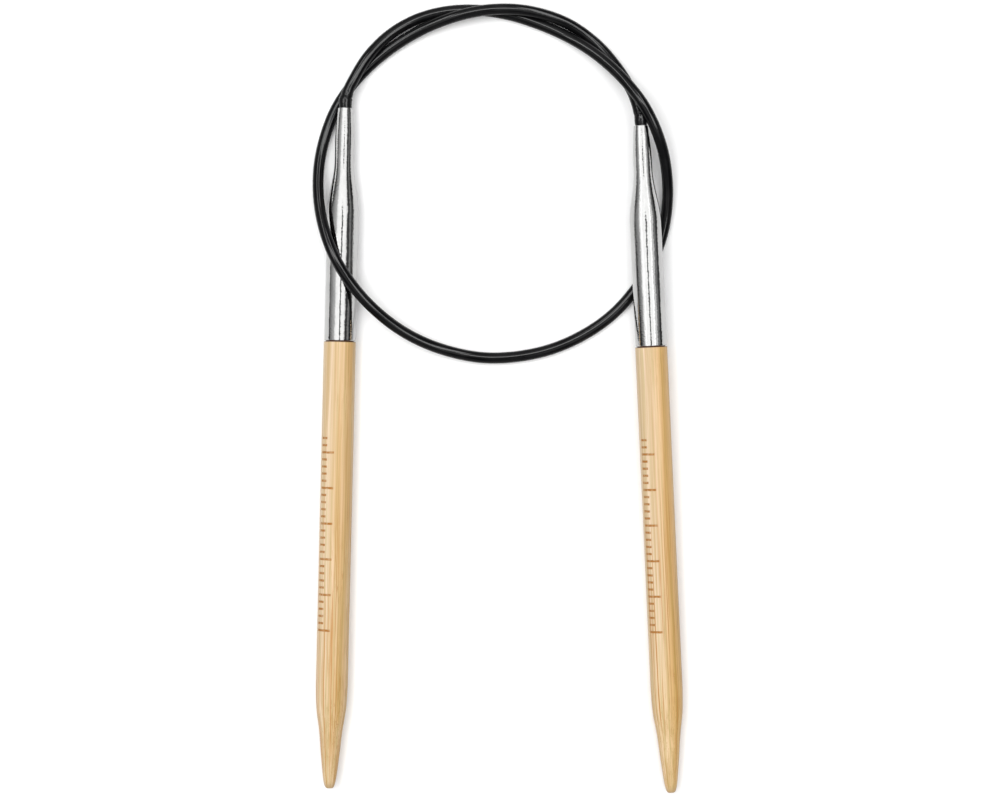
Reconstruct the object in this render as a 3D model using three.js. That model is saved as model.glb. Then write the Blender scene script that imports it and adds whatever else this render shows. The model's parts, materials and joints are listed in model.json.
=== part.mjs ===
// Circular knitting needle, 4.5 mm thick and 40 cm from tip to tip: two bamboo needles, each glued
// into a plated ferrule that turns on the end of one flexible cord.
// Millimetres, +Z up. It lies on the plane z = 0, with the tips towards -Y and the cord's loop at +Y.
import * as THREE from 'three';

// ---- Driving dimensions ------------------------------------------------------------------------
const SHAFT_RADIUS = 2.25;
const WOOD_LENGTH = 63;          // tip to the joint with the ferrule
const TENON_RADIUS = 1.65;       // the turned-down end of the wood, inside the ferrule
const TENON_LENGTH = 12;
const JOINT_GAP = 0.3;           // glue line between wood and ferrule

const FERRULE_RADIUS = 2.2;
const FERRULE_BORE = 1.95;
const SHOULDER_LENGTH = 7.2;     // where the ferrule narrows to its neck
const NECK_RADIUS = 1.33;
const NECK_BORE = 0.9;
const MOUTH_RADIUS = 1.04;
const NOSE_LENGTH = 5;           // the last stretch of the neck, which rounds in to the mouth

const COLLAR_RADIUS = 0.9;
const COLLAR_END_RADIUS = 0.77;
const COLLAR_LENGTH = 0.9;       // how far the collar stands out of the mouth
const COLLAR_LIFT = 0.1;         // clearance between the mouth and the collar's flange
const SHANK_RADIUS = 0.82;
const SPIGOT_RADIUS = 0.5;
const SPIGOT_LENGTH = 1.8;

const STOP_RADIUS = 1.2;
const STOP_LENGTH = 2.5;
const STOP_BORE = 0.62;
const STOP_SETBACK = 4.4;        // from the neck's inner end back to the stop
const RUNNING_GAP = 0.12;

const CORD_RADIUS = 0.75;
const CORD_GAP = 0.3;            // between a collar's end and the cord
const CORD_SIDES = 8;
const CORD_STEPS = 80;
const ROUND_SIDES = 32;
const SMALL_SIDES = 20;

// Each needle: the middle of its tip, its lean from +Y and its rise from the floor in degrees, its
// length from tip to ferrule mouth, and the length of the ferrule's neck. The right needle rises
// because the cord passes under its ferrule.
const LEFT = { tip: [-23.96, -48.07, SHAFT_RADIUS], lean: -1.34, rise: 0, length: 95.93, neck: 7.5 };
const RIGHT = { tip: [24.28, -48.75, 1.87], lean: 2.67, rise: 1.5, length: 94.05, neck: 6.3 };

// The cord's route round the middle of its loop, as [bearing in degrees, reach, height]. It leaves
// the left ferrule, goes clockwise one and a half times round, under the right ferrule and over the
// left one, and ends at the right ferrule. Where it passes over itself it rises in a long hump.
const LOOP_CENTRE = [-0.88, 37.36];
const CORD_ROUTE = [
  [147.4, 24.2, 2.35], [144, 24.4, 2.36], [135, 25.05, 2.02], [125, 25.55, 1.25], [115, 25.6, 0.82],
  [105, 25.2, 0.78], [95, 24.6, 0.78], [85, 24.0, 0.78], [75, 23.5, 0.8], [65, 23.25, 1.14],
  [55, 23.15, 2.15], [45, 23.15, 3.5], [35, 23.3, 4.9], [26.5, 23.6, 5.54], [17, 23.95, 4.99],
  [7.5, 24.35, 3.4], [-5, 24.75, 1.65], [-18, 25.05, 0.86], [-32, 25.12, 0.78], [-50, 25.1, 0.78],
  [-70, 24.87, 0.78], [-90, 24.72, 0.8], [-106, 24.57, 1.3], [-121, 24.55, 2.65], [-136, 24.5, 4.4],
  [-149.5, 24.55, 5.35], [-160, 24.6, 4.95], [-173, 24.65, 3.1], [-186, 24.7, 1.45],
  [-198, 24.65, 0.84], [-208, 24.55, 0.78], [-220, 24.2, 0.78], [-232, 23.95, 0.82],
  [-245, 23.9, 1.3], [-258, 24.05, 2.18], [-270, 24.4, 2.38], [-282, 24.75, 1.96],
  [-295, 24.9, 1.18], [-307, 24.5, 1.0], [-318, 23.85, 1.95], [-326.5, 23.35, 3.2],
  [-330.5, 23.05, 3.8],
];

// ---- Materials ---------------------------------------------------------------------------------
const bamboo = new THREE.MeshStandardMaterial({ color: 0xdeb67f, roughness: 0.5, metalness: 0 });
const plating = new THREE.MeshStandardMaterial({ color: 0xd6d8db, roughness: 0.12, metalness: 1 });
const blackNylon = new THREE.MeshStandardMaterial({ color: 0x1b1b1d, roughness: 0.45, metalness: 0 });
const brass = new THREE.MeshStandardMaterial({ color: 0xb8975a, roughness: 0.35, metalness: 1 });

// ---- Shapes ------------------------------------------------------------------------------------
const radians = (degrees) => THREE.MathUtils.degToRad(degrees);

// A turned piece round the Y axis, from [radius, y] points. Its flats lie at the stated radius, and
// one flat faces straight down, so that a needle rests on it.
function turned(profile, sides) {
  const cornerScale = 1 / Math.cos(Math.PI / sides);
  const outline = profile.map(([radius, y]) => new THREE.Vector2(radius * cornerScale, y));
  return new THREE.LatheGeometry(outline, sides, Math.PI / sides, 2 * Math.PI);
}

// Points of a profile worked out by a formula, at equal steps from one y to another.
function sampled(radiusAt, fromY, toY, steps) {
  return Array.from({ length: steps + 1 }, (_, step) => {
    const y = THREE.MathUtils.lerp(fromY, toY, step / steps);
    return [radiusAt(y), y];
  });
}

// The wood: a blunt nose, a cone with a rounded shoulder, the shaft and the tenon.
function woodGeometry() {
  const cone = new THREE.SplineCurve([
    new THREE.Vector2(0, 0),
    new THREE.Vector2(0.5, 0.1),
    new THREE.Vector2(0.75, 0.6),
    new THREE.Vector2(1.25, 4.2),
    new THREE.Vector2(1.62, 8),
    new THREE.Vector2(2.1, 11.4),
    new THREE.Vector2(SHAFT_RADIUS, 14.5),
  ]);
  const nose = cone.getPoints(20).map((point) => [Math.max(point.x, 0), Math.max(point.y, 0)]);
  const tenonStart = WOOD_LENGTH + JOINT_GAP;
  return turned([
    ...nose,
    [SHAFT_RADIUS, WOOD_LENGTH],
    [TENON_RADIUS, WOOD_LENGTH],
    [TENON_RADIUS, tenonStart + TENON_LENGTH],
    [0, tenonStart + TENON_LENGTH],
  ], ROUND_SIDES);
}

// The ferrule: a drawn tube that takes the tenon, narrows at its shoulder and ends in a neck.
function ferruleGeometry({ length, neck }) {
  const start = WOOD_LENGTH + JOINT_GAP;
  const neckStart = length - neck;
  const shoulderStart = neckStart - SHOULDER_LENGTH;
  const narrowing = (y) => THREE.MathUtils.smoothstep(y, shoulderStart, neckStart);
  const outside = (y) => THREE.MathUtils.lerp(FERRULE_RADIUS, NECK_RADIUS, narrowing(y));
  const inside = (y) => THREE.MathUtils.lerp(FERRULE_BORE, NECK_BORE, narrowing(y));
  const nose = (y) => {
    const fromMouth = (length - y) / NOSE_LENGTH;
    return MOUTH_RADIUS + (NECK_RADIUS - MOUTH_RADIUS) * Math.sin(fromMouth * Math.PI / 2);
  };
  return turned([
    [FERRULE_BORE, start],
    [FERRULE_RADIUS, start],
    ...sampled(outside, shoulderStart, neckStart, 8),
    ...sampled(nose, length - NOSE_LENGTH, length, 5),
    [NECK_BORE, length],
    ...sampled(inside, neckStart, shoulderStart, 8),
    [FERRULE_BORE, start],
  ], ROUND_SIDES);
}

// The collar that the cord's end is moulded into: a taper outside the mouth, a shank through the
// neck and a spigot in the end stop.
function collarGeometry({ length, neck }) {
  const stopFace = length - neck - STOP_SETBACK;
  return turned([
    [0, stopFace - SPIGOT_LENGTH],
    [SPIGOT_RADIUS, stopFace - SPIGOT_LENGTH],
    [SPIGOT_RADIUS, stopFace + RUNNING_GAP],
    [SHANK_RADIUS, stopFace + RUNNING_GAP],
    [SHANK_RADIUS, length + COLLAR_LIFT],
    [COLLAR_RADIUS, length + COLLAR_LIFT],
    [COLLAR_END_RADIUS, length + COLLAR_LENGTH],
    [0, length + COLLAR_LENGTH],
  ], SMALL_SIDES);
}

// The end stop: a brass cap on the spigot, too wide to go through the neck.
function stopGeometry({ length, neck }) {
  const face = length - neck - STOP_SETBACK;
  const pocketEnd = face - SPIGOT_LENGTH - RUNNING_GAP;
  return turned([
    [0, face - STOP_LENGTH],
    [STOP_RADIUS, face - STOP_LENGTH],
    [STOP_RADIUS, face],
    [STOP_BORE, face],
    [STOP_BORE, pocketEnd],
    [0, pocketEnd],
  ], SMALL_SIDES);
}

// A point on a needle's axis, measured from its tip.
function alongNeedle({ tip, lean, rise }, distance) {
  const direction = new THREE.Vector3(0, 1, 0)
    .applyAxisAngle(new THREE.Vector3(1, 0, 0), radians(rise))
    .applyAxisAngle(new THREE.Vector3(0, 0, 1), radians(lean));
  return new THREE.Vector3(...tip).addScaledVector(direction, distance);
}

// The cord: a tube from one collar's end to the other's.
function cordGeometry() {
  const free = CORD_ROUTE.map(([bearing, reach, height]) => new THREE.Vector3(
    LOOP_CENTRE[0] + reach * Math.cos(radians(bearing)),
    LOOP_CENTRE[1] + reach * Math.sin(radians(bearing)),
    height,
  ));
  const collarEnd = COLLAR_LENGTH + CORD_GAP;
  const path = new THREE.CatmullRomCurve3([
    alongNeedle(LEFT, LEFT.length + collarEnd),
    ...free,
    alongNeedle(RIGHT, RIGHT.length + collarEnd),
  ]);
  const section = new THREE.Shape();
  for (let side = 0; side < CORD_SIDES; side += 1) {
    const angle = 2 * Math.PI * side / CORD_SIDES;
    const corner = [CORD_RADIUS * Math.cos(angle), CORD_RADIUS * Math.sin(angle)];
    if (side === 0) section.moveTo(...corner);
    else section.lineTo(...corner);
  }
  section.closePath();
  return new THREE.ExtrudeGeometry(section, { steps: CORD_STEPS, extrudePath: path });
}

// ---- Assembly ----------------------------------------------------------------------------------
function piece(name, geometry, material) {
  const mesh = new THREE.Mesh(geometry, material);
  mesh.name = name;
  return mesh;
}

// One needle with its ferrule, collar and end stop, built along +Y from its tip and set in place.
function needleAssembly(side, needle) {
  const group = new THREE.Group();
  group.add(piece(`needle_tip_${side}`, woodGeometry(), bamboo));
  group.add(piece(`ferrule_${side}`, ferruleGeometry(needle), plating));
  group.add(piece(`cord_collar_${side}`, collarGeometry(needle), blackNylon));
  group.add(piece(`end_stop_${side}`, stopGeometry(needle), brass));
  group.position.set(...needle.tip);
  group.rotation.order = 'ZXY';
  group.rotation.set(radians(needle.rise), 0, radians(needle.lean));
  return group;
}

const circularNeedle = new THREE.Group();
circularNeedle.add(needleAssembly('left', LEFT));
circularNeedle.add(needleAssembly('right', RIGHT));
circularNeedle.add(piece('cord', cordGeometry(), blackNylon));

export default circularNeedle;
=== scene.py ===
"""Looks for a circular knitting needle: two bamboo needles with bright ferrules on one black cord.

Metres, in the CAD model's own frame. Each needle is built along +Y from its tip, in a frame of its
own that the swivel joint gives.
"""
import json
import math
from functools import partial

import bpy
from mathutils import Matrix, Vector, noise


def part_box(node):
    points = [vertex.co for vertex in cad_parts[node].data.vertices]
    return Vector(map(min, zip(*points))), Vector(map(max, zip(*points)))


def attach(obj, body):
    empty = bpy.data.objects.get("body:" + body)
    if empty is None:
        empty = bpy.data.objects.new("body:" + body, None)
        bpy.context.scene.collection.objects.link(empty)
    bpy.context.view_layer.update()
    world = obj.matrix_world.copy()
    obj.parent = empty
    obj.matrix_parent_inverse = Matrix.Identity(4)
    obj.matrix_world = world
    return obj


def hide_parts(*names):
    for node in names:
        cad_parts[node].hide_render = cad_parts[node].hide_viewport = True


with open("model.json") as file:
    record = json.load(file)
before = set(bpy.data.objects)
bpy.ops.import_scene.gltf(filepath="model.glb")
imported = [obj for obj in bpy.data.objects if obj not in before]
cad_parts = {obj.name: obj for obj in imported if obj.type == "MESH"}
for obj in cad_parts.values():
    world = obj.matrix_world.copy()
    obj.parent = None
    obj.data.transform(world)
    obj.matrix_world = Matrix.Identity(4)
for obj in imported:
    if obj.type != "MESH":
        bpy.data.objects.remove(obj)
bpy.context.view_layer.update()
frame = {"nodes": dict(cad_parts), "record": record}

MM = 0.001

# ---- Sizes, in metres ---------------------------------------------------------------------------
SHAFT_RADIUS = 2.25 * MM
WOOD_LENGTH = 63 * MM
WOOD_BEVEL = 0.05 * MM           # the softened edge against the ferrule
TENON_RADIUS = 1.65 * MM
TENON_LENGTH = 12 * MM
JOINT_GAP = 0.14 * MM            # the visible glue line between wood and ferrule
GLUE_DEPTH = 0.28 * MM
GLUE_LENGTH = 0.5 * MM           # of the glue's ring, most of it inside the ferrule

FERRULE_RADIUS = 2.2 * MM
FERRULE_BORE = 1.95 * MM
FERRULE_RIM = 0.07 * MM          # the rounded edge against the wood
SHOULDER_LENGTH = 7.2 * MM
NECK_RADIUS = 1.33 * MM
NECK_BORE = 0.95 * MM
MOUTH_RADIUS = 1.04 * MM
NOSE_LENGTH = 5 * MM
NECK_LENGTH = {"left": 7.5 * MM, "right": 6.3 * MM}

CORD_DIAMETER = 1.56 * MM
CORD_START = 1.2 * MM            # from a ferrule's mouth to the cord's own end, inside the collar
COLLAR_RADIUS = {"left": 0.95 * MM, "right": 0.9 * MM}
COLLAR_START = 0.06 * MM
COLLAR_LENGTH = 2.9 * MM         # how far the collar's taper reaches along the cord
COLLAR_LUMPS = 0.07 * MM
COLLAR_RING = 0.05 * MM          # the depth of the ring pressed into it
COLLAR_EDGE = 0.06 * MM          # how much its end draws in at the mouth

TURNED_SIDES = 128
CORD_SIDES = 32
COLLAR_SIDES = 48
ROUTE_STEPS = 14                 # of the cord's line, between two points of its route

# The cord's route round the middle of its loop: bearing in degrees, reach and height in metres.
LOOP_CENTRE = (-0.00088, 0.03736)
CORD_ROUTE = [
    (147.4, 0.02420, 0.00235), (144, 0.02440, 0.00236), (135, 0.02505, 0.00202),
    (125, 0.02555, 0.00125), (115, 0.02560, 0.00082), (105, 0.02520, 0.00078),
    (95, 0.02460, 0.00078), (85, 0.02400, 0.00078), (75, 0.02350, 0.00080),
    (65, 0.02325, 0.00114), (55, 0.02315, 0.00215), (45, 0.02315, 0.00350),
    (35, 0.02330, 0.00490), (26.5, 0.02360, 0.00554), (17, 0.02395, 0.00499),
    (7.5, 0.02435, 0.00340), (-5, 0.02475, 0.00165), (-18, 0.02505, 0.00086),
    (-32, 0.02512, 0.00078), (-50, 0.02510, 0.00078), (-70, 0.02487, 0.00078),
    (-90, 0.02472, 0.00080), (-106, 0.02457, 0.00130), (-121, 0.02455, 0.00265),
    (-136, 0.02450, 0.00440), (-149.5, 0.02455, 0.00535), (-160, 0.02460, 0.00495),
    (-173, 0.02465, 0.00310), (-186, 0.02470, 0.00145), (-198, 0.02465, 0.00084),
    (-208, 0.02455, 0.00078), (-220, 0.02420, 0.00078), (-232, 0.02395, 0.00082),
    (-245, 0.02390, 0.00130), (-258, 0.02405, 0.00218), (-270, 0.02440, 0.00238),
    (-282, 0.02475, 0.00196), (-295, 0.02490, 0.00118), (-307, 0.02450, 0.00100),
    (-318, 0.02385, 0.00195), (-326.5, 0.02335, 0.00320), (-330.5, 0.02305, 0.00380),
]

FLOOR_REACH = 4                  # each way from the middle
FLOOR_DROP = 0.01 * MM           # clear of the pieces that lie on it

# The burnt measuring scale on each shaft. Its strokes are a millimetre apart and numbered from 0 up
# the shaft, and every fifth is a long one.
SCALE_START = {"left": 22.4 * MM, "right": 23 * MM}     # from the tip
LAST_STROKE = 27
STROKE_HALF_WIDTH = (0.13, 0.19)                        # millimetres, over its soft edge
STROKE_START = (-1.16, -1.1)                            # radians from the top, over its soft end
STROKE_END = {"short": -0.62, "long": -0.14}            # radians from the top

# The wood's markings change between these two distances from the tip, in millimetres.
TIP_ZONE = (15.0, 50.0)

CREASE_ANGLE = 40                # degrees between two faces, above which their edge stays sharp

# ---- Camera, looking straight down on the middle of the object -----------------------------------
CAMERA_PLACE = (0.00010, 0.00670, 0.394)
CAMERA_LENS = 100                # millimetres, as the sensor is
CAMERA_SENSOR = 36


def make_camera():
    data = bpy.data.cameras.new("camera")
    data.lens = CAMERA_LENS
    data.sensor_width = CAMERA_SENSOR
    data.clip_start = 0.01
    data.clip_end = 10
    camera = bpy.data.objects.new("camera", data)
    camera.location = CAMERA_PLACE
    bpy.context.collection.objects.link(camera)
    bpy.context.scene.camera = camera


make_camera()


# ---- Geometry -------------------------------------------------------------------------------------
def new_piece(name, vertices, faces, body, material, place=Matrix()):
    """A smooth-shaded mesh object that rides on a CAD body, with creases where faces turn sharply."""
    mesh = bpy.data.meshes.new(name)
    mesh.from_pydata([tuple(vertex) for vertex in vertices], [], faces)
    mesh.polygons.foreach_set("use_smooth", [True] * len(mesh.polygons))
    mesh.set_sharp_from_angle(angle=math.radians(CREASE_ANGLE))
    mesh.materials.append(material)
    mesh.update()
    piece = bpy.data.objects.new(name, mesh)
    bpy.context.collection.objects.link(piece)
    piece.matrix_world = place
    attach(piece, body)
    return piece


def turned(outline, sides=TURNED_SIDES):
    """Vertices and faces of a turned body round +Y from (radius, y) points, listed so that the
    outside lies to the right of the line. It starts and ends on the axis or closes on itself."""
    vertices = []
    rings = []
    for radius, y in outline:
        count = sides if radius > 0 else 1
        rings.append(range(len(vertices), len(vertices) + count))
        for side in range(count):
            angle = 2 * math.pi * side / sides
            vertices.append((radius * math.sin(angle), y, radius * math.cos(angle)))
    if outline[0][0] > 0:
        rings.append(rings[0])
    faces = []
    for low, high in zip(rings, rings[1:]):
        for side in range(sides):
            after = (side + 1) % sides
            corners = [low[side % len(low)], low[after % len(low)],
                       high[after % len(high)], high[side % len(high)]]
            faces.append(list(dict.fromkeys(corners)))
    return vertices, faces


def tube(centres, radius_at, sides):
    """Vertices and faces of a closed tube along a line of points. radius_at takes the share of the
    line's length and the angle round it."""
    up = Vector((0, 0, 1))
    vertices = []
    last = len(centres) - 1
    for index, centre in enumerate(centres):
        along = (centres[min(index + 1, last)] - centres[max(index - 1, 0)]).normalized()
        across = along.cross(up).normalized()
        above = across.cross(along)
        for side in range(sides):
            angle = 2 * math.pi * side / sides
            radius = radius_at(index / last, angle)
            vertices.append(centre + radius * (math.sin(angle) * across + math.cos(angle) * above))
    faces = [list(reversed(range(sides))), list(range(last * sides, (last + 1) * sides))]
    for index in range(last):
        for side in range(sides):
            after = (side + 1) % sides
            start = index * sides
            faces.append([start + side, start + after, start + sides + after, start + sides + side])
    return vertices, faces


def smooth_line(points, steps):
    """A centripetal Catmull-Rom line through the points, the same one that the CAD cord follows."""
    before = points[0] * 2 - points[1]
    beyond = points[-1] * 2 - points[-2]
    padded = [before, *points, beyond]
    line = []
    for p0, p1, p2, p3 in zip(padded, padded[1:], padded[2:], padded[3:]):
        gap0, gap1, gap2 = (math.sqrt((b - a).length) for a, b in ((p0, p1), (p1, p2), (p2, p3)))
        leave = ((p1 - p0) / gap0 - (p2 - p0) / (gap0 + gap1) + (p2 - p1) / gap1) * gap1
        arrive = ((p2 - p1) / gap1 - (p3 - p1) / (gap1 + gap2) + (p3 - p2) / gap2) * gap1
        for step in range(steps):
            t = step / steps
            line.append(p1 + leave * t + (3 * (p2 - p1) - 2 * leave - arrive) * t ** 2
                        + (2 * (p1 - p2) + leave + arrive) * t ** 3)
    line.append(points[-1])
    return line


def smoothstep(value, low, high):
    share = min(max((value - low) / (high - low), 0), 1)
    return share * share * (3 - 2 * share)


def arc(centre, radius, start, end, steps):
    """Points of a round edge, with angles in degrees from the outward direction towards +Y."""
    angles = [math.radians(start + (end - start) * step / steps) for step in range(steps + 1)]
    return [(centre[0] + radius * math.cos(a), centre[1] + radius * math.sin(a)) for a in angles]


# ---- Shader graphs --------------------------------------------------------------------------------
class Graph:
    """A node tree with short calls for the nodes used over and over. Coordinates are millimetres
    in the piece's own frame."""

    def __init__(self, tree):
        self.tree = tree
        tree.nodes.clear()

    def add(self, kind, inputs=None, output=0, **settings):
        node = self.tree.nodes.new(kind)
        for name, value in settings.items():
            setattr(node, name, value)
        for key, value in (inputs or {}).items():
            if isinstance(value, bpy.types.NodeSocket):
                self.tree.links.new(value, node.inputs[key])
            else:
                node.inputs[key].default_value = value
        return node.outputs[output] if node.outputs else None

    def math(self, operation, *values):
        return self.add("ShaderNodeMath", dict(enumerate(values)), operation=operation)

    def ramp(self, value, low, high, to_low=0.0, to_high=1.0):
        """A smooth step from to_low to to_high as value goes from low to high."""
        inputs = {"Value": value, "From Min": low, "From Max": high, "To Min": to_low,
                  "To Max": to_high}
        return self.add("ShaderNodeMapRange", inputs, interpolation_type="SMOOTHSTEP")

    def mix(self, factor, first, second, blend="MIX"):
        node_inputs = {0: factor, 6: first, 7: second}
        return self.add("ShaderNodeMix", node_inputs, 2, data_type="RGBA", blend_type=blend)

    def axes(self, vector):
        """The vector's X, Y and Z."""
        return [self.add("ShaderNodeSeparateXYZ", {0: vector}, output) for output in range(3)]

    def millimetres(self):
        place = self.add("ShaderNodeTexCoord", output=3)
        return self.add("ShaderNodeVectorMath", {0: place, 3: 1000.0}, operation="SCALE")

    def stretched(self, place, scale, offset=(0, 0, 0)):
        return self.add("ShaderNodeMapping", {"Vector": place, "Scale": scale, "Location": offset})

    def noise(self, place, scale=1.0, detail=2.0, roughness=0.5):
        inputs = {"Vector": place, "Scale": scale, "Detail": detail, "Roughness": roughness}
        return self.add("ShaderNodeTexNoise", inputs)

    def bump(self, height, distance_mm, normal=None):
        inputs = {"Height": height, "Distance": distance_mm * MM, "Strength": 1.0}
        if normal is not None:
            inputs["Normal"] = normal
        return self.add("ShaderNodeBump", inputs)

    def surface(self, inputs):
        shader = self.add("ShaderNodeBsdfPrincipled", inputs)
        self.add("ShaderNodeOutputMaterial", {"Surface": shader})


def new_material(name):
    material = bpy.data.materials.new(name)
    material.use_nodes = True
    return material, Graph(material.node_tree)


def tick_scale(graph, axes, start):
    """Where the burnt measuring scale is: 1 on its strokes, from start, a distance from the tip."""
    along = graph.math("SUBTRACT", axes[1], start / MM)
    number = graph.math("ROUND", along)
    off_centre = graph.math("ABSOLUTE", graph.math("SUBTRACT", along, number))
    stroke = graph.ramp(off_centre, *STROKE_HALF_WIDTH, 1.0, 0.0)
    on_scale = graph.math("MULTIPLY", graph.math("GREATER_THAN", number, -0.5),
                          graph.math("LESS_THAN", number, LAST_STROKE + 0.5))
    turn = graph.math("ARCTAN2", axes[0], axes[2])
    fifth = graph.math("LESS_THAN", graph.math("MODULO", graph.math("ADD", number, 0.5), 5.0), 1.0)
    far_end = graph.add("ShaderNodeMapRange", {"Value": fifth, "To Min": STROKE_END["short"],
                                               "To Max": STROKE_END["long"]})
    inside = graph.math("MULTIPLY", graph.ramp(turn, *STROKE_START),
                        graph.ramp(graph.math("SUBTRACT", turn, far_end), -0.05, 0.03, 1.0, 0.0))
    return graph.math("MULTIPLY", graph.math("MULTIPLY", stroke, on_scale), inside)


def bamboo_section(graph, place, axes, offset):
    """The place across the fibres, which drifts sideways and changes slowly along the needle."""
    wander = graph.noise(graph.stretched(place, (0.0, 0.035, 0.0), offset), 1.0, 1.0)
    return graph.add("ShaderNodeCombineXYZ", {0: graph.math("ADD", axes[0], wander),
                                              1: graph.math("ADD", axes[2], wander),
                                              2: graph.math("MULTIPLY", axes[1], 0.01)})


def bamboo_bundles(graph, section, outer_shaded_side, offset):
    """Where the dark fibre bundles are: 1 inside one. They are thicker on the culm's outside, which
    faces right, away from the key lamp, so there they also darken the wood as painted shade.
    """
    cells = graph.stretched(section, (2.0, 2.0, 1.0), offset)
    distance = graph.add("ShaderNodeTexVoronoi", {"Vector": cells, "Randomness": 0.95})
    reach = graph.ramp(outer_shaded_side, 0.1, 1.0, 0.11, 0.2)
    return graph.ramp(graph.math("SUBTRACT", distance, reach), 0.0, 0.04, 1.0, 0.0)


def bamboo_ground(graph, section, outer_shaded_side, offset, rind_and_shade):
    """The colour between the bundles: pale inside the culm and tan towards its outside, which faces
    right, away from the key lamp; that tan is partly the wood's own colour and partly painted shade.
    """
    bands = graph.ramp(graph.noise(graph.stretched(section, (1.3, 1.3, 1.0), offset)), 0.35, 0.65)
    pale = graph.mix(bands, (0.58, 0.42, 0.25, 1), (0.68, 0.53, 0.365, 1))
    # The outside's colour is darker than the wood's own tan, as painted shade on the side away from
    # the key lamp.
    tan = graph.mix(bands, (0.57, 0.355, 0.135, 1), rind_and_shade)
    return graph.mix(graph.ramp(outer_shaded_side, 0.3, 1.0), pale, tan)


def brushed_lines(graph, place, offset):
    """A place that changes fast round the needle and slowly along it, for long thin lines."""
    around = graph.add("ShaderNodeVectorMath", {0: graph.stretched(place, (1.0, 0.0, 1.0))},
                       operation="NORMALIZE")
    return graph.add("ShaderNodeVectorMath", {0: graph.stretched(around, (9.0, 1.0, 9.0), offset),
                                              1: graph.stretched(place, (0.0, 0.025, 0.0))},
                     operation="ADD")


def grain_colour(graph, grain, along):
    """The fine grain, as a colour to multiply by. Its dark lines are warm, and faint near the
    ferrule."""
    darkest = graph.ramp(along, *TIP_ZONE, 0.80, 0.87)
    darkest_blue = graph.ramp(along, *TIP_ZONE, 0.62, 0.72)
    fine = graph.ramp(grain, 0.38, 0.62, darkest, 1.1)
    fine_blue = graph.ramp(grain, 0.38, 0.62, darkest_blue, 1.17)
    return graph.add("ShaderNodeCombineColor", {0: fine, 1: fine, 2: fine_blue})


def tip_colours(graph, colour, lines, along, warmth):
    """Adds thin dark veins and a warmer colour towards the tip, and a worn nose."""
    vein_lines = graph.noise(graph.stretched(lines, (1.4, 1.4, 1.4)))
    veins = graph.math("MULTIPLY", graph.ramp(vein_lines, 0.545, 0.605),
                       graph.ramp(along, *TIP_ZONE, 0.95, 0.2))
    veined = graph.mix(veins, colour, (0.46, 0.215, 0.05, 1))
    golden = graph.ramp(along, 8.0, 30.0, warmth, 0.0)
    warmed = graph.mix(golden, veined, (1.0, 0.97, 0.84, 1), "MULTIPLY")
    worn = graph.ramp(along, 0.2, 1.3, 0.55, 0.0)
    return graph.mix(worn, warmed, (0.40, 0.27, 0.14, 1))


def bamboo_material(name, culm_and_shade_turn, offset, start, rind_and_shade, warmth):
    """Bamboo cut lengthways: pale ground tissue with long darker fibre bundles, which lie thicker and
    more orange towards the outside of the culm. That side is turned to the right, away from the key
    lamp, and its darker colour is partly the wood's own and partly painted shade. The arguments give
    that side's angle from the top, the grain's offset, where the burnt scale begins, that side's
    colour (darkened as painted shade) and how much warmer the wood gets towards its tip."""
    material, graph = new_material(name)
    place = graph.millimetres()
    axes = graph.axes(place)
    along = axes[1]
    depth = graph.math("ADD", graph.math("MULTIPLY", axes[0], math.sin(culm_and_shade_turn)),
                       graph.math("MULTIPLY", axes[2], math.cos(culm_and_shade_turn)))
    # Towards the culm's outside, which faces right, away from the key lamp: the darker, more orange
    # wood there is partly its own colour and partly painted shade.
    outer_shaded_side = graph.ramp(depth, -1.8, 2.3)
    section = bamboo_section(graph, place, axes, offset)
    bundle = bamboo_bundles(graph, section, outer_shaded_side, offset)
    ground = bamboo_ground(graph, section, outer_shaded_side, offset, rind_and_shade)
    # The bundles turn more orange towards that side, partly as painted shade.
    streak = graph.mix(outer_shaded_side, (0.43, 0.24, 0.083, 1), (0.43, 0.195, 0.045, 1))
    tipward = graph.ramp(along, *TIP_ZONE, 1.0, 0.5)
    streaked = graph.mix(graph.math("MULTIPLY", bundle, tipward), ground, streak)

    fibres = graph.noise(graph.stretched(section, (4.2, 4.2, 3.0), offset), 1.0, 2.0, 0.6)
    lines = brushed_lines(graph, place, offset)
    brushed = graph.noise(lines, 1.0, 4.0, 0.65)
    grain = graph.math("ADD", graph.math("MULTIPLY", fibres, 0.35),
                       graph.math("MULTIPLY", brushed, 0.65))
    grained = graph.mix(1.0, streaked, grain_colour(graph, grain, along), "MULTIPLY")
    surface = tip_colours(graph, grained, lines, along, warmth)

    ticks = tick_scale(graph, axes, start)
    patchy = graph.ramp(graph.noise(graph.stretched(place, (3.0, 3.0, 3.0))), 0.3, 0.6, 0.6)
    burnt = graph.mix(graph.math("MULTIPLY", ticks, patchy), surface, (0.36, 0.15, 0.03, 1))
    glue = graph.ramp(along, WOOD_LENGTH / MM - 0.09, WOOD_LENGTH / MM - 0.02)
    coloured = graph.mix(glue, burnt, (0.085, 0.035, 0.015, 1))

    raised = graph.math("SUBTRACT", fibres, graph.math("MULTIPLY", bundle, 0.3))
    burn_bump = graph.bump(graph.math("MULTIPLY", ticks, -1.0), 0.02, graph.bump(raised, 0.012))
    roughness = graph.math("ADD", graph.ramp(fibres, 0.3, 0.7, 0.38, 0.52),
                           graph.math("MULTIPLY", ticks, 0.2))
    graph.surface({"Base Color": coloured, "Roughness": roughness, "Normal": burn_bump,
                   "Coat Weight": 0.12, "Coat Roughness": 0.3, "Specular IOR Level": 0.4})
    return material


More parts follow.
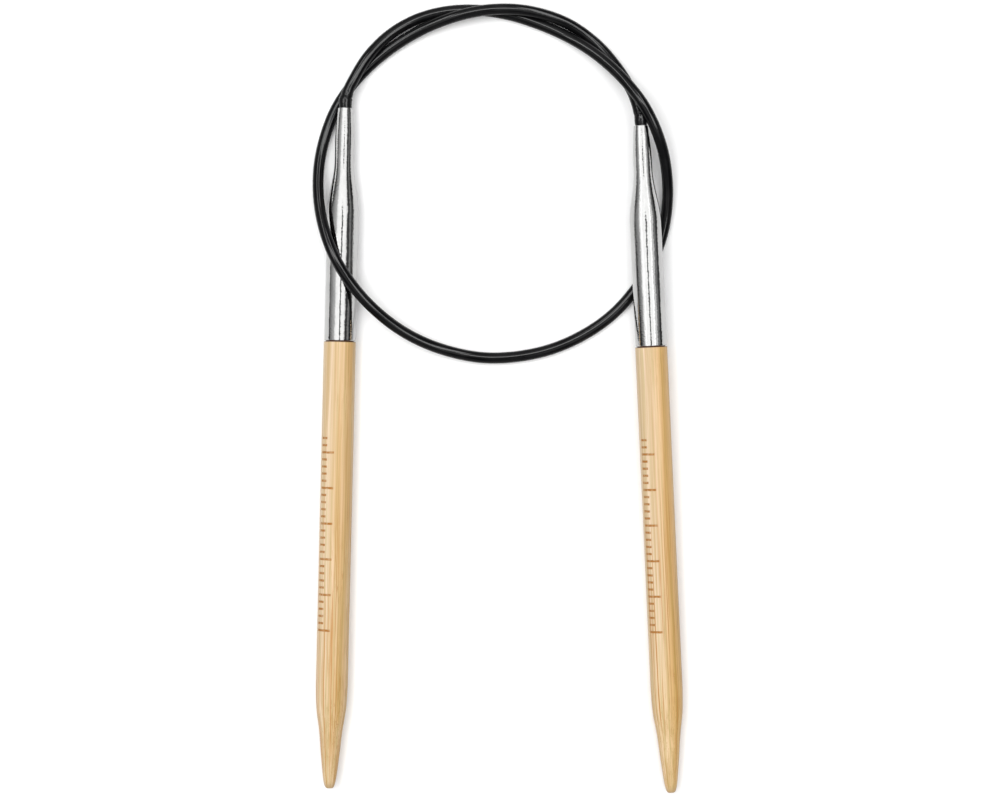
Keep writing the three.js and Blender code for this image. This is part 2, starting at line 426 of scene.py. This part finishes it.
def plating_material():
    """Bright plating on a drawn tube: soft waves, fine ripples, faint polishing rings, a little haze
    and a few scuffs."""
    material, graph = new_material("bright_plating")
    place = graph.millimetres()
    haze = graph.noise(graph.stretched(place, (0.9, 0.35, 0.9)), 1.0, 4.0, 0.65)
    scuffs = graph.noise(graph.stretched(place, (14.0, 1.2, 14.0)), 1.0, 3.0, 0.6)
    colour = graph.mix(graph.ramp(haze, 0.35, 0.75), (0.60, 0.60, 0.595, 1), (0.54, 0.54, 0.535, 1))
    roughness = graph.math("ADD", graph.ramp(haze, 0.4, 0.8, 0.045, 0.12),
                           graph.ramp(scuffs, 0.62, 0.8, 0.0, 0.1))
    waves = graph.noise(graph.stretched(place, (0.55, 0.3, 0.55)))
    ripples = graph.noise(graph.stretched(place, (2.5, 4.5, 2.5)))
    rings = graph.noise(graph.stretched(place, (0.4, 26.0, 0.4)), 1.0, 2.0, 0.6)
    wave_bump = graph.bump(waves, 0.04)
    ripple_bump = graph.bump(ripples, 0.02, wave_bump)
    ring_bump = graph.bump(rings, 0.0006, ripple_bump)
    graph.surface({"Base Color": colour, "Metallic": 1.0, "Roughness": roughness,
                   "Normal": ring_bump})
    return material


def nylon_material(name, wrinkle_mm):
    """Black drawn nylon: a clear sheen, a fine skin texture, wrinkles and a trace of dust."""
    material, graph = new_material(name)
    place = graph.millimetres()
    skin = graph.noise(place, 7.0, 4.0, 0.6)
    cloud = graph.noise(place, 0.35, 3.0, 0.5)
    dust = graph.ramp(graph.noise(place, 11.0, 2.0, 0.7), 0.68, 0.8)
    black = graph.mix(graph.ramp(cloud, 0.35, 0.65), (0.0015, 0.0015, 0.0017, 1),
                      (0.0035, 0.0035, 0.0037, 1))
    colour = graph.mix(graph.math("MULTIPLY", dust, 0.35), black, (0.025, 0.025, 0.025, 1))
    roughness = graph.ramp(graph.math("ADD", skin, graph.math("MULTIPLY", cloud, 0.5)),
                           0.5, 1.0, 0.06, 0.13)
    wrinkle_bump = graph.bump(graph.noise(place, 2.2), wrinkle_mm)
    graph.surface({"Base Color": colour, "Roughness": roughness,
                   "Normal": graph.bump(skin, 0.002, wrinkle_bump), "IOR": 1.25})
    return material


def brass_material():
    """Turned brass with fine tool rings and a little tarnish."""
    material, graph = new_material("turned_brass")
    place = graph.millimetres()
    rings = graph.noise(graph.stretched(place, (0.3, 18.0, 0.3)), 1.0, 2.0, 0.6)
    tarnish = graph.noise(place, 1.4, 4.0, 0.6)
    colour = graph.mix(graph.ramp(tarnish, 0.4, 0.7), (0.66, 0.45, 0.17, 1), (0.42, 0.26, 0.09, 1))
    graph.surface({"Base Color": colour, "Metallic": 1.0, "Normal": graph.bump(rings, 0.002),
                   "Roughness": graph.ramp(tarnish, 0.3, 0.7, 0.22, 0.42)})
    return material


# ---- The needles ----------------------------------------------------------------------------------
def needle_frame(side):
    """The needle's own frame, from its swivel: origin at its tip, +Y along it, +Z on top. Returns
    the frame and the needle's length from tip to ferrule mouth."""
    joint = next(j for j in frame["record"]["behaviour"]["joints"] if j["name"] == f"{side}_swivel")
    mouth = Vector(joint["pos_m"])
    axis = Vector(joint["axis"]).normalized()
    length = (mouth.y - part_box(f"needle_tip_{side}")[0][1]) / axis.y
    across = axis.cross(Vector((0, 0, 1))).normalized()
    above = across.cross(axis)
    turn = Matrix((across, axis, above)).transposed().to_4x4()
    return Matrix.Translation(mouth - axis * length) @ turn, length


def wood_outline():
    """A blunt nose, a cone with a rounded shoulder, the shaft, the ring of glue and the tenon."""
    cone = [Vector((radius * MM, y * MM, 0)) for radius, y in
            ((0, 0), (0.5, 0.1), (0.75, 0.6), (1.25, 4.2), (1.62, 8), (2.1, 11.4), (2.25, 14.5))]
    nose = [(max(point.x, 0), max(point.y, 0)) for point in smooth_line(cone, 8)]
    edge = arc((SHAFT_RADIUS - WOOD_BEVEL, WOOD_LENGTH - WOOD_BEVEL), WOOD_BEVEL, 0, 90, 4)
    glue_radius = SHAFT_RADIUS - GLUE_DEPTH
    glue_end = WOOD_LENGTH + GLUE_LENGTH
    tenon_end = WOOD_LENGTH + TENON_LENGTH
    return [*nose, *edge, (glue_radius, WOOD_LENGTH), (glue_radius, glue_end),
            (TENON_RADIUS, glue_end), (TENON_RADIUS, tenon_end), (0, tenon_end)]


def equal_steps(start, length, count):
    """Places at equal steps along a stretch of the needle, with both its ends."""
    return [start + length * step / count for step in range(count + 1)]


def ferrule_outline(length, neck):
    """The drawn tube: a rolled rim against the wood, a straight run, a shoulder, the neck and a
    rounded mouth, and back down the bore."""
    start = WOOD_LENGTH + JOINT_GAP
    neck_start = length - neck
    shoulder_start = neck_start - SHOULDER_LENGTH
    lip = (MOUTH_RADIUS - NECK_BORE) / 2
    outline = [(FERRULE_BORE, start)]
    outline += arc((FERRULE_RADIUS - FERRULE_RIM, start + FERRULE_RIM), FERRULE_RIM, -90, 0, 4)
    for y in equal_steps(shoulder_start, SHOULDER_LENGTH, 32):
        share = smoothstep(y, shoulder_start, neck_start)
        outline.append((FERRULE_RADIUS + (NECK_RADIUS - FERRULE_RADIUS) * share, y))
    for y in equal_steps(length - NOSE_LENGTH, NOSE_LENGTH - lip, 16):
        bulge = math.sin((length - lip - y) / NOSE_LENGTH * math.pi / 2)
        outline.append((MOUTH_RADIUS + (NECK_RADIUS - MOUTH_RADIUS) * bulge, y))
    outline += arc((MOUTH_RADIUS - lip, length - lip), lip, 20, 180, 6)
    for y in equal_steps(neck_start, -SHOULDER_LENGTH, 16):
        share = smoothstep(y, shoulder_start, neck_start)
        outline.append((FERRULE_BORE + (NECK_BORE - FERRULE_BORE) * share, y))
    return outline


def make_needle(side, bamboo, plating):
    """The wood and the ferrule of one needle, in place of their CAD nodes. Returns the ferrule."""
    place, length = needle_frame(side)
    body = f"{side}_needle"
    wood = new_piece(f"bamboo_{side}", *turned(wood_outline()), body, bamboo, place)
    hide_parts(f"needle_tip_{side}")
    outline = ferrule_outline(length, NECK_LENGTH[side])
    ferrule = new_piece(f"bright_ferrule_{side}", *turned(outline), body, plating, place)
    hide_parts(f"ferrule_{side}")
    return ferrule


# ---- The cord and its collars -----------------------------------------------------------------------
def cord_line():
    """The cord's centreline, from inside the left collar to inside the right one."""
    ends = {}
    for side in ("left", "right"):
        place, length = needle_frame(side)
        ends[side] = place @ Vector((0, length + CORD_START, 0))
    middle = [Vector((LOOP_CENTRE[0] + reach * math.cos(math.radians(bearing)),
                      LOOP_CENTRE[1] + reach * math.sin(math.radians(bearing)), height))
              for bearing, reach, height in CORD_ROUTE]
    return smooth_line([ends["left"], *middle, ends["right"]], ROUTE_STEPS)


def make_cord(line, nylon):
    radius = CORD_DIAMETER / 2
    shape = tube(line, lambda share, angle: radius, CORD_SIDES)
    cord = new_piece("flexible_cord", *shape, "cord", nylon)
    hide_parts("cord")
    return cord


def collar_radius(widest, share, angle):
    """A taper with soft lumps and one shallow ring near the ferrule, all fading along the cord."""
    taper = CORD_DIAMETER / 2 + 0.01 * MM + (widest - CORD_DIAMETER / 2) * (1 - share) ** 1.6
    around = Vector((1.3 * math.cos(angle), 1.3 * math.sin(angle), 8 * share + 900 * widest))
    lumps = COLLAR_LUMPS * noise.noise(around) * (1 - share)
    ring = COLLAR_RING * math.exp(-((share - 0.3) / 0.06) ** 2)
    edge = COLLAR_EDGE * (1 - smoothstep(share, 0, 0.05))
    return taper + lumps - ring - edge


def make_collar(side, line, nylon):
    """The strain relief that tapers from the ferrule's mouth down onto the cord."""
    place, length = needle_frame(side)
    start = place @ Vector((0, length + COLLAR_START, 0))
    centres = [start]
    for point in line:
        if (point - start).length > COLLAR_LENGTH:
            break
        centres.append(point)
    centres = smooth_line(centres, 4)
    shape = tube(centres, partial(collar_radius, COLLAR_RADIUS[side]), COLLAR_SIDES)
    collar = new_piece(f"collar_{side}", *shape, "cord", nylon)
    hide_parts(f"cord_collar_{side}")
    return collar


def finish_end_stops(brass):
    """Gives the end stops, which keep their CAD shape, the brass material."""
    for side in ("left", "right"):
        for material_slot in frame["nodes"][f"end_stop_{side}"].material_slots:
            material_slot.material = brass


# ---- Floor and light ------------------------------------------------------------------------------
def make_floor():
    """A white sheet, which shows a little greyer in reflections than it does to the camera."""
    material, graph = new_material("floor_white")
    tone = graph.noise(graph.millimetres(), 0.01, 2.0)
    white = graph.mix(tone, (0.95, 0.95, 0.95, 1), (0.97, 0.97, 0.97, 1))
    mirrored = graph.add("ShaderNodeLightPath", output=3)
    seen = graph.mix(mirrored, white, (0.74, 0.74, 0.74, 1))
    graph.surface({"Base Color": seen, "Roughness": 0.8, "Specular IOR Level": 0.2})
    mesh = bpy.data.meshes.new("floor")
    corners = [(x * FLOOR_REACH, y * FLOOR_REACH, -FLOOR_DROP)
               for x, y in ((-1, -1), (1, -1), (1, 1), (-1, 1))]
    mesh.from_pydata(corners, [], [(0, 1, 2, 3)])
    mesh.materials.append(material)
    floor = bpy.data.objects.new("floor", mesh)
    bpy.context.collection.objects.link(floor)


# Each lamp's place, width and depth in metres, and power in watts. All face straight down. The key
# lamp throws the shadows right and a little down. The gleam lamps light the black pieces alone, for
# the bright lines on them, and the panels light the right ferrule alone.
LAMPS = {
    "key": ((-0.22, 0.10, 0.46), 0.24, 0.24, 0.63),
    "fill": ((0, 0, 0.7), 0.6, 0.6, 2.7),
    "gleam_left": ((-0.29, 0.28, 0.5), 0.10, 0.55, 2.2),
    "gleam_right": ((0.20, 0.24, 0.5), 0.11, 0.66, 2.7),
    "gleam_low": ((0.34, 0.03, 0.5), 0.16, 0.16, 0.75),
    "gleam_far": ((-0.03, 0.165, 0.5), 0.30, 0.13, 1.55),
    "panel_left": ((-0.41, 0.20, 0.5), 0.30, 0.8, 0.52),
    "panel_right": ((0.48, 0.20, 0.5), 0.40, 0.8, 0.88),
}


def make_lamp(name, place, width, depth, power):
    """A panel lamp that faces straight down and is left out of the object's reflections."""
    data = bpy.data.lights.new(name, "AREA")
    data.shape = "RECTANGLE"
    data.size = width
    data.size_y = depth
    data.energy = power
    lamp = bpy.data.objects.new(name, data)
    lamp.location = place
    lamp.visible_glossy = False
    bpy.context.collection.objects.link(lamp)
    return lamp


def light_only(lamp, pieces):
    """Makes a lamp light these pieces alone, and lets it show in their sheen."""
    receivers = bpy.data.collections.new(f"lit_by_{lamp.name}")
    for piece in pieces:
        receivers.objects.link(piece)
    lamp.light_linking.receiver_collection = receivers
    lamp.visible_glossy = True


def make_lights(black_pieces, right_ferrule):
    for name, settings in LAMPS.items():
        lamp = make_lamp(name, *settings)
        if name.startswith("gleam"):
            light_only(lamp, black_pieces)
        if name.startswith("panel"):
            light_only(lamp, [right_ferrule])


# Brightness of the studio across the object, from the left horizon over the top to the right one:
# angle from straight up in degrees, and grey level.
STUDIO_BANDS = [(-100, 0.30), (-90, 0.12), (-84, 0.16), (-77, 0.30), (-66, 0.38), (-56, 0.55),
                (-42, 0.72), (-33, 1.55), (-4, 1.65), (29, 1.5), (34, 0.9), (38, 0.06),
                (52, 0.06), (60, 0.34), (67, 0.22), (73, 0.08), (87, 0.06), (100, 0.3)]

# A narrow dark slit parts the two panels overhead. In radians from straight up: its inner and outer
# edge across the object, and where it begins and finishes closing on the far side.
SLIT_EDGES = (0.066, 0.09)
SLIT_END = (0.13, 0.22)
SLIT_LEVEL = 0.04


def make_studio():
    """Soft panels round the object, the light that the bright plating mirrors. They dim towards the
    near and far sides, and the camera itself sees white."""
    world = bpy.data.worlds.new("studio")
    world.use_nodes = True
    bpy.context.scene.world = world
    graph = Graph(world.node_tree)
    direction = graph.add("ShaderNodeTexCoord", output=0)
    axes = graph.axes(direction)
    across = graph.math("ARCTAN2", axes[0], axes[2])
    share = graph.math("ADD", graph.math("DIVIDE", across, 2 * math.pi), 0.5)
    ramp = graph.tree.nodes.new("ShaderNodeValToRGB")
    graph.tree.links.new(share, ramp.inputs[0])
    elements = ramp.color_ramp.elements
    for degrees, grey in STUDIO_BANDS:
        element = elements.new(degrees / 360 + 0.5)
        element.color = (grey, grey, grey, 1)
    for default_end in (elements[-1], elements[0]):
        elements.remove(default_end)
    along = graph.math("ARCTAN2", axes[1], axes[2])
    near = graph.math("ADD", graph.ramp(along, -0.8, -0.3, 0.06, 1.0),
                      graph.ramp(along, -1.2, -0.85, 0.4, 0.0))
    overhead = graph.math("MULTIPLY", near, graph.ramp(along, 0.55, 0.95, 1.0, 0.4))
    beside_slit = graph.ramp(graph.math("ABSOLUTE", across), *SLIT_EDGES, SLIT_LEVEL, 1.0)
    panels = graph.math("MAXIMUM", beside_slit, graph.ramp(along, *SLIT_END))
    level = graph.math("MULTIPLY", overhead, panels)
    dimmed = graph.add("ShaderNodeVectorMath", {0: ramp.outputs[0], 3: level}, operation="SCALE")
    seen = graph.add("ShaderNodeLightPath", output=0)
    colour = graph.mix(seen, dimmed, (0.93, 0.93, 0.93, 1))
    background = graph.add("ShaderNodeBackground", {"Color": colour, "Strength": 1.0})
    graph.add("ShaderNodeOutputWorld", {"Surface": background})
    bpy.context.scene.view_settings.view_transform = "Standard"


# ---- Everything together ----------------------------------------------------------------------------
route = cord_line()
cord = make_cord(route, nylon_material("cord_nylon", 0.004))
collar_nylon = nylon_material("collar_nylon", 0.05)
collars = [make_collar("left", route, collar_nylon),
           make_collar("right", list(reversed(route)), collar_nylon)]

plating = plating_material()
# Both needles turn the culm's outside to the right, away from the key lamp, and its colour there is
# darkened as painted shade.
left_bamboo = bamboo_material("bamboo_left", math.radians(70), (3.1, 0.4, 7.7),
                              SCALE_START["left"], (0.625, 0.44, 0.24, 1), 0.3)
right_bamboo = bamboo_material("bamboo_right", math.radians(80), (11.3, 5.2, 2.9),
                               SCALE_START["right"], (0.65, 0.42, 0.185, 1), 1.0)
make_needle("left", left_bamboo, plating)
right_ferrule = make_needle("right", right_bamboo, plating)
finish_end_stops(brass_material())

make_floor()
make_lights([cord, *collars], right_ferrule)
make_studio()
